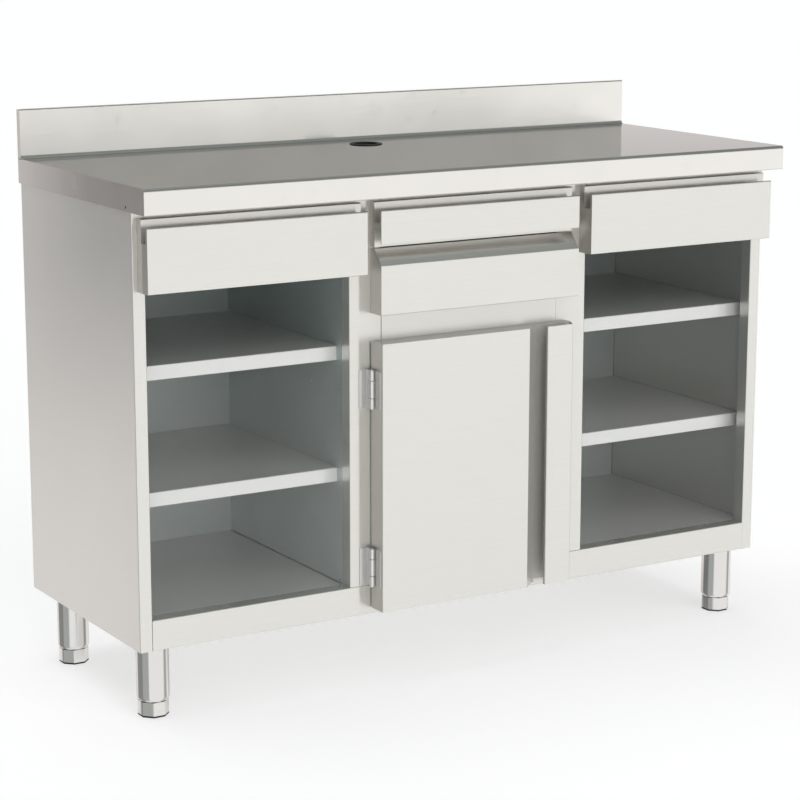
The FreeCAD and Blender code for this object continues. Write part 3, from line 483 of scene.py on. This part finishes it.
def soft_block(bm, low, high, bevel):
    """A block between two corners with rounded edges, in metres."""
    size = high - low
    place = Matrix.Translation((low + high) / 2.0) @ Matrix.Diagonal((*size, 1.0))
    corners = bmesh.ops.create_cube(bm, size=1.0, matrix=place)["verts"]
    lines = list({line for corner in corners for line in corner.link_edges})
    bmesh.ops.bevel(bm, geom=lines, offset=bevel, segments=3, profile=0.5, affect="EDGES", material=-1)


def finish_piece(name, bm, slot, body, replaced=(), sharp=35.0):
    """Closes a bmesh into an object with its finish, its body and its slot."""
    bmesh.ops.remove_doubles(bm, verts=bm.verts, dist=1e-6)
    bmesh.ops.dissolve_degenerate(bm, edges=bm.edges, dist=1e-7)
    bmesh.ops.recalc_face_normals(bm, faces=bm.faces)
    mesh = bpy.data.meshes.new(name)
    bm.to_mesh(mesh)
    bm.free()
    mesh.shade_smooth()
    mesh.set_sharp_from_angle(angle=math.radians(sharp))
    mesh.materials.append(finish_for(slot))
    piece = bpy.data.objects.new(name, mesh)
    bpy.context.scene.collection.objects.link(piece)
    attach(piece, body)
    if replaced:
        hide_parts(*replaced)
    return piece


# The pieces

# Heads of screws and rivets, as outlines of (radius, height) in millimetres
SCREW_HEAD = ((0.0, 0.2), (1.1, 0.2), (1.3, 0.7), (2.9, 0.62), (3.5, 0.3), (3.5, 0.0), (0.0, 0.0))
FLUSH_HEAD = ((0.0, 0.04), (0.9, 0.04), (1.0, 0.16), (2.7, 0.16), (2.8, 0.0), (0.0, 0.0))
BLIND_RIVET = ((0.0, 0.4), (1.0, 0.4), (1.1, 0.85), (2.3, 0.75), (3.1, 0.35), (3.2, 0.0), (0.0, 0.0))

# Heights of a hinge and of its end knuckles, its plate, the gap between knuckles, and how far a leaf hides
HINGE_TALL = 78.0 * MM
HINGE_END = 21.0 * MM
HINGE_PLATE = 2.0 * MM
HINGE_GAP = 0.3 * MM
TUCK = 0.05 * MM

# Cages in millimetres: web from the wall, balls' middle from the wall, half the height, and a ball's radius
OUTER_CAGE = (2.4, 7.0, 20.4, 0.85)
INNER_CAGE = (5.95, 8.8, 17.15, 1.1)
CAGE_START = 0.2
CAGE_INSET = 0.004
RUNNER_SCREWS = (-0.2, -0.04, 0.12)


class STATION_OT_worktop(bpy.types.Operator):
    """Finish the worktop sheet and its board, and turn the cable grommet"""

    bl_idname = "station.worktop"
    bl_label = "Worktop"

    def execute(self, context):
        dress("worktop_sheet", "worktop_board")
        low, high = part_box("cable_grommet")
        middle = (low + high) / 2.0
        foot = low.z / MM
        top = high.z / MM
        outline = ((26.0, foot), (30.0, foot), (30.0, top - 2.0), (35.0, top - 2.0), (35.0, top - 1.2),
                   (34.5, top - 0.4), (33.4, top), (28.2, top), (26.7, top - 0.4), (26.0, top - 1.4))
        bm = bmesh.new()
        lathe(bm, outline, placed((middle.x, middle.y, 0.0)), steps=96)
        finish_piece("cable_ring", bm, "grommet_plastic", "carcass", ("cable_grommet",))
        return {"FINISHED"}


class STATION_OT_carcass(bpy.types.Operator):
    """Finish the panels, posts, rails and shelves, and rivet the back panel"""

    bl_idname = "station.carcass"
    bl_label = "Carcass"

    def execute(self, context):
        dress("left_side_panel", "right_side_panel", "middle_posts", "dividers", "bottom_rail", "centre_rail",
              "top_rails", "base_panel", "back_panel", "left_upper_shelf", "left_lower_shelf",
              "right_upper_shelf", "right_lower_shelf", "cupboard_shelf", "shelf_angles", "divider_rivets")
        count = context.scene.station_sizes.rivet_count
        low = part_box("left_side_panel")[0]
        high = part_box("right_side_panel")[1]
        bm = bmesh.new()
        for index in range(count):
            height = low.z + 0.03 + (high.z - low.z - 0.06) * index / (count - 1)
            for x in (low.x + 0.015, high.x - 0.015):
                lathe(bm, BLIND_RIVET, placed((x, high.y, height), "y"), steps=16)
        finish_piece("back_rivets", bm, "pin_steel", "carcass")
        return {"FINISHED"}


class STATION_OT_drawers(bpy.types.Operator):
    """Finish the four drawers, and fit their runners with screws, cages and balls"""

    bl_idname = "station.drawers"
    bl_label = "Drawers"

    def execute(self, context):
        dress("fixed_runners", "runner_brackets")
        count = context.scene.station_sizes.ball_count
        wall_screws = bmesh.new()
        for drawer in DRAWERS:
            dress(drawer + "_front", drawer + "_backer", drawer + "_box", drawer + "_runners",
                  drawer + "_middle_runners")
            low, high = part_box(drawer + "_middle_runners")
            level = (low.z + high.z) / 2.0
            walls = ((low.x - 4.2 * MM, 1.0), (high.x + 4.2 * MM, -1.0))
            cages = bmesh.new()
            balls = bmesh.new()
            box_screws = bmesh.new()
            for wall, inward in walls:
                between = low.y + CAGE_START
                place = (wall, inward, level)
                self.cage(cages, balls, place, between, high.y - CAGE_INSET, OUTER_CAGE, count)
                self.cage(cages, balls, place, low.y + CAGE_INSET, between, INNER_CAGE, count)
                inwards, outwards = ("x", "-x") if inward > 0.0 else ("-x", "x")
                for y in RUNNER_SCREWS:
                    at_wall = placed((wall + inward * 1.2 * MM, y, level), inwards)
                    at_box = placed((wall + inward * 11.5 * MM, y, level), outwards)
                    lathe(wall_screws, SCREW_HEAD, at_wall, steps=12)
                    lathe(box_screws, SCREW_HEAD, at_box, steps=12)
            finish_piece(drawer + "_ball_cages", cages, "zinc_steel", drawer + "_middle_members", sharp=50.0)
            finish_piece(drawer + "_balls", balls, "pin_steel", drawer + "_middle_members", sharp=80.0)
            finish_piece(drawer + "_runner_screws", box_screws, "pin_steel", drawer)
        finish_piece("wall_runner_screws", wall_screws, "pin_steel", "carcass")
        return {"FINISHED"}

    def cage(self, cages, balls, place, near, far, sizes, count):
        """One cage of thin strip, with a row of balls along its upper edge and one along its lower edge."""
        wall, inward, level = place
        web, middle, half, radius = sizes
        reach = middle + radius + 0.8
        path = [(wall + inward * x * MM, level + z * MM)
                for x, z in ((reach, -half), (web, -half), (web, half), (reach, half))]
        fold_strip(cages, path, near, far, 0.4 * MM)
        for index in range(count):
            y = near + (far - near) * (index + 0.5) / count
            for z in (-half, half):
                spot = Matrix.Translation((wall + inward * middle * MM, y, level + z * MM))
                bmesh.ops.create_uvsphere(balls, u_segments=8, v_segments=6, radius=radius * MM, matrix=spot)


class STATION_OT_door(bpy.types.Operator):
    """Finish the door and its hinges, and build its magnetic catch"""

    bl_idname = "station.door"
    bl_label = "Door"

    def execute(self, context):
        dress("door_skin", "door_grip", "door_liner", "hinge_pins", "door_strike")
        self.hinges()
        low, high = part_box("door_strike")
        middle = (low + high) / 2.0
        screws = bmesh.new()
        for z in (middle.z - 0.013, middle.z + 0.013):
            lathe(screws, FLUSH_HEAD, placed((middle.x, high.y, z), "y"), steps=16)
        finish_piece("strike_screws", screws, "pin_steel", "door")
        low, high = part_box("door_magnet")
        proud = 0.6 * MM
        housing = bmesh.new()
        soft_block(housing, low + Vector((0.0, proud, 0.0)), high, 1.2 * MM)
        finish_piece("magnet_housing", housing, "magnet_plastic", "carcass", ("door_magnet",), sharp=10.0)
        poles = bmesh.new()
        for x in (low.x + 4.0 * MM, high.x - 6.0 * MM):
            foot = Vector((x, low.y, low.z + 4.0 * MM))
            head = Vector((x + 2.0 * MM, low.y + 4.0 * MM, high.z - 4.0 * MM))
            soft_block(poles, foot, head, 0.2 * MM)
        finish_piece("magnet_poles", poles, "zinc_steel", "carcass", sharp=10.0)
        return {"FINISHED"}


    def hinges(self):
        """Two cranked hinges: leaves with broken edges, and knuckles with a fine groove at each joint."""
        low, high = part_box("hinge_pins")
        pivot = (low + high) / 2.0
        pivot.z = 0.0
        still_low, still_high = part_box("hinge_frame_leaves")
        moving_low, moving_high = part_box("hinge_door_leaves")
        still = bmesh.new()
        moving = bmesh.new()
        for foot in (still_low.z, still_high.z - HINGE_TALL):
            head = foot + HINGE_TALL
            first = foot + HINGE_END
            last = head - HINGE_END
            back = still_high.y - HINGE_PLATE
            self.leaf(still, (still_low.x, back, foot), (pivot.x, still_high.y, head))
            crank = pivot.x - HINGE_PLATE
            self.leaf(still, (crank, pivot.y + 6.2 * MM, foot), (pivot.x, back + 0.5 * MM, head))
            for low, high in ((foot, first), (last, head)):
                self.leaf(still, (crank + TUCK, pivot.y + 3.0 * MM, low + TUCK),
                          (pivot.x - TUCK, pivot.y + 9.0 * MM, high - TUCK))
                self.knuckle(still, pivot, low, high)
            wing = moving_high.x - HINGE_PLATE
            self.leaf(moving, (wing, moving_low.y, foot), (moving_high.x, pivot.y - 4.7 * MM, head))
            self.leaf(moving, (wing + TUCK, pivot.y - 8.0 * MM, first + HINGE_GAP),
                      (moving_high.x - TUCK, pivot.y, last - HINGE_GAP))
            self.knuckle(moving, pivot, first + HINGE_GAP, last - HINGE_GAP)
        finish_piece("rolled_frame_leaves", still, "hinge_steel", "carcass", ("hinge_frame_leaves",),
                     sharp=10.0)
        finish_piece("rolled_door_leaves", moving, "hinge_steel", "door", ("hinge_door_leaves",), sharp=10.0)

    def leaf(self, bm, low, high):
        """One flat length of a hinge leaf."""
        soft_block(bm, Vector(low), Vector(high), 0.3 * MM)

    def knuckle(self, bm, pivot, low, high):
        """One knuckle, with its ends chamfered."""
        foot = low / MM
        head = high / MM
        outline = ((2.55, foot), (5.4, foot), (6.0, foot + 0.6), (6.0, head - 0.6), (5.4, head), (2.55, head))
        lathe(bm, outline, placed(pivot), steps=48)


class STATION_OT_legs(bpy.types.Operator):
    """Turn the leg tubes and bushes, and cut the octagonal levelling feet with their threads"""

    bl_idname = "station.legs"
    bl_label = "Legs and feet"

    def execute(self, context):
        dress("leg_flanges")
        low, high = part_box("leg_tubes")
        foot = low.z / MM
        top = high.z / MM
        tube = ((27.0, foot), (28.0, foot), (28.5, foot + 0.3), (29.9, foot + 1.7), (30.9, foot + 3.1),
                (31.7, foot + 4.8), (32.2, foot + 6.6), (32.45, foot + 8.2), (32.5, foot + 9.4), (32.5, top),
                (31.0, top), (31.0, foot + 8.7), (27.0, foot + 8.7))
        bush_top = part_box("leg_bushes")[1].z / MM
        bush = ((8.2, foot + 0.1), (26.9, foot + 0.1), (26.9, foot + 8.8), (30.9, foot + 8.8),
                (30.9, bush_top - 1.5), (29.4, bush_top), (9.4, bush_top), (8.2, bush_top - 1.2))
        bead = ((32.4, top), (34.9, top), (34.7, top - 0.8), (34.0, top - 1.7), (33.2, top - 2.3),
                (32.4, top - 2.5))
        tubes = bmesh.new()
        bushes = bmesh.new()
        beads = bmesh.new()
        for corner in CORNERS:
            below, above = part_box("sole_" + corner)
            middle = (below + above) / 2.0
            middle.z = 0.0
            lathe(tubes, tube, placed(middle), steps=96)
            lathe(bushes, bush, placed(middle), steps=64)
            ring = bmesh.new()
            lathe(ring, bead, placed(middle), steps=144)
            self.ripple(ring, middle)
            copy = bpy.data.meshes.new("bead")
            ring.to_mesh(copy)
            ring.free()
            beads.from_mesh(copy)
            bpy.data.meshes.remove(copy)
            self.foot(context, corner, middle)
            self.tread(corner, middle)
        finish_piece("turned_leg_tubes", tubes, "leg_steel", "carcass", ("leg_tubes",))
        finish_piece("stepped_leg_bushes", bushes, "bush_plastic", "carcass", ("leg_bushes",))
        finish_piece("leg_weld_beads", beads, "leg_steel", "carcass")
        return {"FINISHED"}

    def ripple(self, bm, middle):
        """Gives a weld bead the small waves that a welder's hand leaves."""
        for vert in bm.verts:
            away = vert.co - middle
            angle = math.atan2(away.y, away.x)
            swell = 1.0 + 0.006 * math.sin(angle * 48.0) * (1.0 if away.xy.length > 33.0 * MM else 0.0)
            vert.co.x = middle.x + away.x * swell
            vert.co.y = middle.y + away.y * swell

    def foot(self, context, corner, middle):
        """An eight-sided foot with broken edges, and its threaded stem."""
        sizes = context.scene.station_sizes
        low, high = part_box("foot_" + corner)
        base = low.z / MM
        head = 31.0
        end = high.z / MM
        nut = ((0.0, base), (30.1, base), (30.65, base + 0.5), (30.65, head - 0.4), (30.2, head), (0.0, head))
        bm = bmesh.new()
        lathe(bm, nut, placed(middle), steps=8, start=EIGHTH)
        tall = [line for line in bm.edges if abs(line.verts[0].co.z - line.verts[1].co.z) > 20.0 * MM]
        bmesh.ops.bevel(bm, geom=tall, offset=sizes.foot_bevel, segments=2, profile=0.5, affect="EDGES",
                        material=-1)
        core = 8.0 - sizes.thread_depth / MM
        stem = ((0.0, head - 0.5), (core, head - 0.5), (core, end - 1.5), (core - 1.5, end), (0.0, end))
        lathe(bm, stem, placed(middle), steps=32)
        wind_thread(bm, middle, (head - 0.5) * MM, (end - 1.5) * MM, core * MM, sizes.thread_depth,
                    sizes.thread_pitch)
        finish_piece("threaded_foot_" + corner, bm, "leg_steel", "foot_" + corner, ("foot_" + corner,))

    def tread(self, corner, middle):
        """An octagonal rubber sole with grooves in its underside."""
        groove = 0.8
        outline = [(0.0, groove)]
        for ring in (6.0, 14.4, 22.8):
            outline += [(ring, groove), (ring + 0.4, 0.0), (ring + 6.0, 0.0), (ring + 6.4, groove)]
        outline[-2:] = [(30.1, 0.0), (30.4, 0.3), (30.4, 2.8), (30.2, 3.0), (0.0, 3.0)]
        bm = bmesh.new()
        lathe(bm, outline, placed(middle), steps=8, start=EIGHTH)
        finish_piece("tread_" + corner, bm, "sole_rubber", "foot_" + corner, ("sole_" + corner,), sharp=30.0)


class STATION_OT_stage(bpy.types.Operator):
    """Set up the floor, the surroundings, the lamps and the camera"""

    bl_idname = "station.stage"
    bl_label = "Stage"

    def execute(self, context):
        studio = context.scene.station_studio
        self.floor()
        self.surroundings(context, studio.surroundings)
        self.lamp("overhead_lamp", studio.lamp_power, -10.0, -10.0, 50.0)
        self.lamp("front_lamp", studio.front_power, 60.0, 0.0, 70.0)
        camera = bpy.data.cameras.new("camera")
        camera.sensor_width = 36.0
        camera.lens = studio.lens
        camera.clip_end = 200.0
        view = bpy.data.objects.new("camera", camera)
        view.location = studio.eye
        view.rotation_euler = studio.turn
        context.scene.collection.objects.link(view)
        context.scene.camera = view
        context.scene.view_settings.view_transform = "Standard"
        return {"FINISHED"}

    def lamp(self, name, power, lean, roll, spread):
        """A broad soft lamp that leans towards the front and the right by some degrees."""
        lamp = bpy.data.lights.new(name, "SUN")
        lamp.angle = math.radians(spread)
        lamp.energy = power
        holder = bpy.data.objects.new(name, lamp)
        holder.location = (math.sin(math.radians(roll)) * 4.0, -math.sin(math.radians(lean)) * 4.0, 4.0)
        holder.rotation_euler = (math.radians(lean), math.radians(roll), 0.0)
        holder.visible_glossy = False
        bpy.context.scene.collection.objects.link(holder)

    def floor(self):
        """A pale floor that stays white where nothing shades it and keeps a soft shadow; reflections through
        it carry a painted shadow under the counter.
        """
        bm = bmesh.new()
        bmesh.ops.create_grid(bm, x_segments=1, y_segments=1, size=40.0)
        bmesh.ops.translate(bm, verts=bm.verts, vec=(0.0, 0.0, -0.0006))
        mesh = bpy.data.meshes.new("floor")
        bm.to_mesh(mesh)
        bm.free()
        floor = bpy.data.objects.new("floor", mesh)
        bpy.context.scene.collection.objects.link(floor)
        finish = Finish(bpy.data.materials.new("pale_floor"))
        seen = finish.add("LightPath", output=0)
        mirrored = finish.add("LightPath", output=3)
        paint = finish.add("BsdfDiffuse", inputs={"Color": (0.85, 0.85, 0.85, 1.0)})
        glow = finish.add("Emission", inputs={"Color": (1.0, 1.0, 1.0, 1.0), "Strength": 1.41})
        shader = finish.add("MixShader", inputs={0: seen * 0.42, 1: paint, 2: glow})
        # Painted shadow: what the floor passes on to reflections is darkened under the counter's footprint.
        x, y, z = finish.parts(finish.add("TexCoord", output=3))
        along = finish.ease(x.math("ABSOLUTE"), 0.6, 0.8, 1.0, 0.0)
        under = along * finish.ease(y.math("ABSOLUTE"), 0.05, 0.25, 1.0, 0.0)
        painted_shadow_in_reflections = finish.tint(under, (1.0, 1.0, 1.0, 1.0), (0.7, 0.7, 0.7, 1.0))
        clear = finish.add("BsdfTransparent", inputs={"Color": painted_shadow_in_reflections})
        shader = finish.add("MixShader", inputs={0: mirrored, 1: shader, 2: clear})
        mesh.materials.append(finish.close(shader))

    def surroundings(self, context, level):
        """A pale room: white below and ahead, with soft grey screens at the sides and a grey wall above."""
        world = bpy.data.worlds.new("surroundings")
        context.scene.world = world
        finish = Finish(world)
        x, y, z = finish.parts(finish.add("TexCoord", output=0))
        bearing = y.math("ARCTAN2", x) * (180.0 / math.pi)
        bearing = bearing.math("FLOORED_MODULO", 360.0)
        height = z.math("ARCSINE") * (180.0 / math.pi)

        def screen(start, end, low, high, soft=8.0, fade=6.0):
            """A soft-edged screen between two bearings and two heights, in degrees."""
            across = finish.ease(bearing, start - soft, start + soft)
            across = across * finish.ease(bearing, end - soft, end + soft, 1.0, 0.0)
            up = finish.ease(height, low - fade, low + fade)
            up = up * finish.ease(height, high - fade, high + fade, 1.0, 0.0)
            return across * up

        behind = screen(15.0, 122.0, -60.0, 50.0)
        beside = screen(100.0, 122.0, -60.0, 50.0, soft=4.0)
        room = finish.ease(height, 2.0, 9.0, 1.0, 0.25)
        room = room + finish.ease(height, -6.0, -1.0, 0.0, 0.36) * finish.ease(height, 1.0, 5.0, 1.0, 0.0)
        room = room + finish.ease(height, 50.0, 90.0, 0.0, 0.3)
        room = room + screen(10.0, 100.0, 4.0, 40.0) * 0.22
        room = room * (1.0 - behind * 0.16 + beside * 0.12)
        dark = screen(118.0, 217.0, -60.0, 40.0, soft=2.5) * 0.5
        dark = dark + screen(118.6, 170.0, -60.0, 40.0, soft=2.0) * 0.2
        high_dark = screen(112.2, 217.0, -9.2, 40.0, soft=2.3, fade=2.2) * 0.85
        room = room * (1.0 - dark.math("MAXIMUM", high_dark))
        room = room * (1.0 - screen(328.0, 354.0, -60.0, 40.0, soft=4.0) * 0.55)
        tone = finish.tint(behind, (1.0, 0.995, 0.985, 1.0), (1.0, 0.955, 0.95, 1.0))
        tone = finish.tint(screen(150.0, 217.0, -60.0, 40.0), tone, (0.96, 1.0, 0.98, 1.0))
        tone = finish.tint(finish.ease(height, 15.0, 40.0), tone, (0.91, 1.0, 0.975, 1.0))
        soft = finish.add("Background", inputs={"Color": tone, "Strength": room * level})
        white = finish.add("Background", inputs={"Color": (1.0, 1.0, 1.0, 1.0), "Strength": 1.0})
        seen = finish.add("LightPath", output=0)
        shader = finish.add("MixShader", inputs={0: seen, 1: soft, 2: white})
        finish.close(shader, "OutputWorld")


class STATION_PT_panel(bpy.types.Panel):
    """Buttons that build the counter, piece by piece"""

    bl_label = "Service station"
    bl_idname = "STATION_PT_panel"
    bl_space_type = "VIEW_3D"
    bl_region_type = "UI"
    bl_category = "Station"

    def draw(self, context):
        column = self.layout.column(align=True)
        for operator in OPERATORS:
            column.operator(operator.bl_idname)
        for group in GROUPS:
            settings = getattr(context.scene, group)
            box = self.layout.box()
            for name in settings.__annotations__:
                box.prop(settings, name)


OPERATORS = (
    STATION_OT_stage, STATION_OT_worktop, STATION_OT_carcass, STATION_OT_drawers, STATION_OT_door,
    STATION_OT_legs,
)
GROUPS = {"station_sizes": StationSizes, "station_finishes": StationFinishes, "station_studio": StationStudio}


def register():
    for group in GROUPS.values():
        bpy.utils.register_class(group)
    for name, group in GROUPS.items():
        setattr(bpy.types.Scene, name, bpy.props.PointerProperty(type=group))
    for operator in OPERATORS:
        bpy.utils.register_class(operator)
    bpy.utils.register_class(STATION_PT_panel)


def unregister():
    bpy.utils.unregister_class(STATION_PT_panel)
    for operator in reversed(OPERATORS):
        bpy.utils.unregister_class(operator)
    for name, group in GROUPS.items():
        delattr(bpy.types.Scene, name)
        bpy.utils.unregister_class(group)


def main():
    register()
    bpy.ops.station.stage()
    bpy.ops.station.worktop()
    bpy.ops.station.carcass()
    bpy.ops.station.drawers()
    bpy.ops.station.door()
    bpy.ops.station.legs()


if __name__ == "__main__":
    main()
